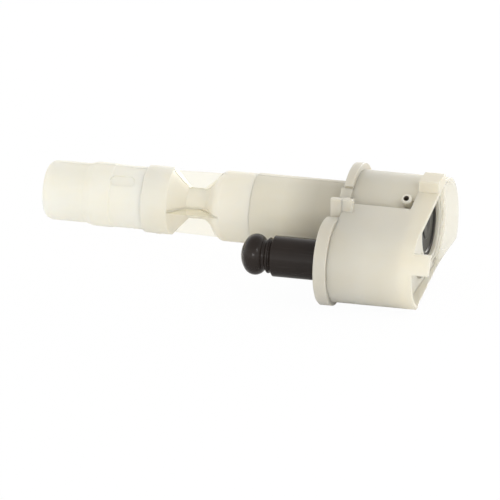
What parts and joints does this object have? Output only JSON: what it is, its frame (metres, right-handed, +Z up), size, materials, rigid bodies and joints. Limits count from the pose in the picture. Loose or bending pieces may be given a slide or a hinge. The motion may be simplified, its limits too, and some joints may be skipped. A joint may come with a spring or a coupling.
{
  "type": "toilet fill valve",
  "caption": "Pilot-operated toilet fill valve: translucent inlet tube with a narrow waist, two-lobed head open at its end, and a black push-in pilot plunger beside the tube.",
  "frame": {"origin": "centre of the inlet tube's free end face", "axes": "+X along the inlet tube from its free end towards the valve head, +Z up, pilot plunger beside the tube on the -Y side"},
  "size_m": [0.1512, 0.0684, 0.0395],
  "materials": {
    "natural_plastic": "natural translucent polypropylene, satin moulded surface",
    "white_plastic": "white acetal, fine moulded grain",
    "black_plastic": "black acetal, polished",
    "black_rubber": "nitrile rubber, matt",
    "clear_silicone": "milky silicone rubber, semi-matt",
    "spring_steel": "stainless spring steel, drawn finish"
  },
  "bodies": {
    "valve": {"bleed_pin": "spring_steel", "body_oring": "black_rubber", "bonnet_cap": "black_plastic", "bonnet_oring": "black_rubber", "bonnet_ring": "natural_plastic", "check_cage": "black_plastic", "check_seat": "white_plastic", "check_spring": "spring_steel", "cover_screw": "spring_steel", "end_cover": "natural_plastic", "flow_restrictor": "white_plastic", "front_plate": "natural_plastic", "inlet_strainer": "white_plastic", "main_spring": "spring_steel", "pilot_block": "natural_plastic", "pilot_link": "clear_silicone", "plunger_guide": "natural_plastic", "plunger_oring": "black_rubber", "plunger_spring": "spring_steel", "refill_nozzle": "natural_plastic", "riser_gasket": "black_rubber", "riser_oring": "clear_silicone", "riser_tube": "natural_plastic", "seat_body": "natural_plastic", "tail_oring": "clear_silicone", "tail_tube": "natural_plastic", "throat_body": "natural_plastic", "valve_housing": "natural_plastic"},
    "plunger": {"plunger": "black_plastic", "spring_clip": "spring_steel", "pilot_pad": "black_rubber"},
    "piston": {"piston": "white_plastic", "piston_ring": "black_rubber", "seat_washer": "black_rubber"},
    "check_poppet": {"check_poppet": "black_plastic", "check_washer": "black_rubber"}
  },
  "joints": [
    {"name": "plunger_slide", "type": "slide", "parent": "valve", "child": "plunger", "axis": [1, 0, 0], "range_m": [0, 0.006], "deforming": ["plunger_spring"]},
    {"name": "piston_lift", "type": "slide", "parent": "valve", "child": "piston", "axis": [1, 0, 0], "range_m": [0, 0.002], "deforming": ["main_spring"]},
    {"name": "check_lift", "type": "slide", "parent": "valve", "child": "check_poppet", "axis": [1, 0, 0], "range_m": [0, 0.0025], "deforming": ["check_spring"]}
  ]
}
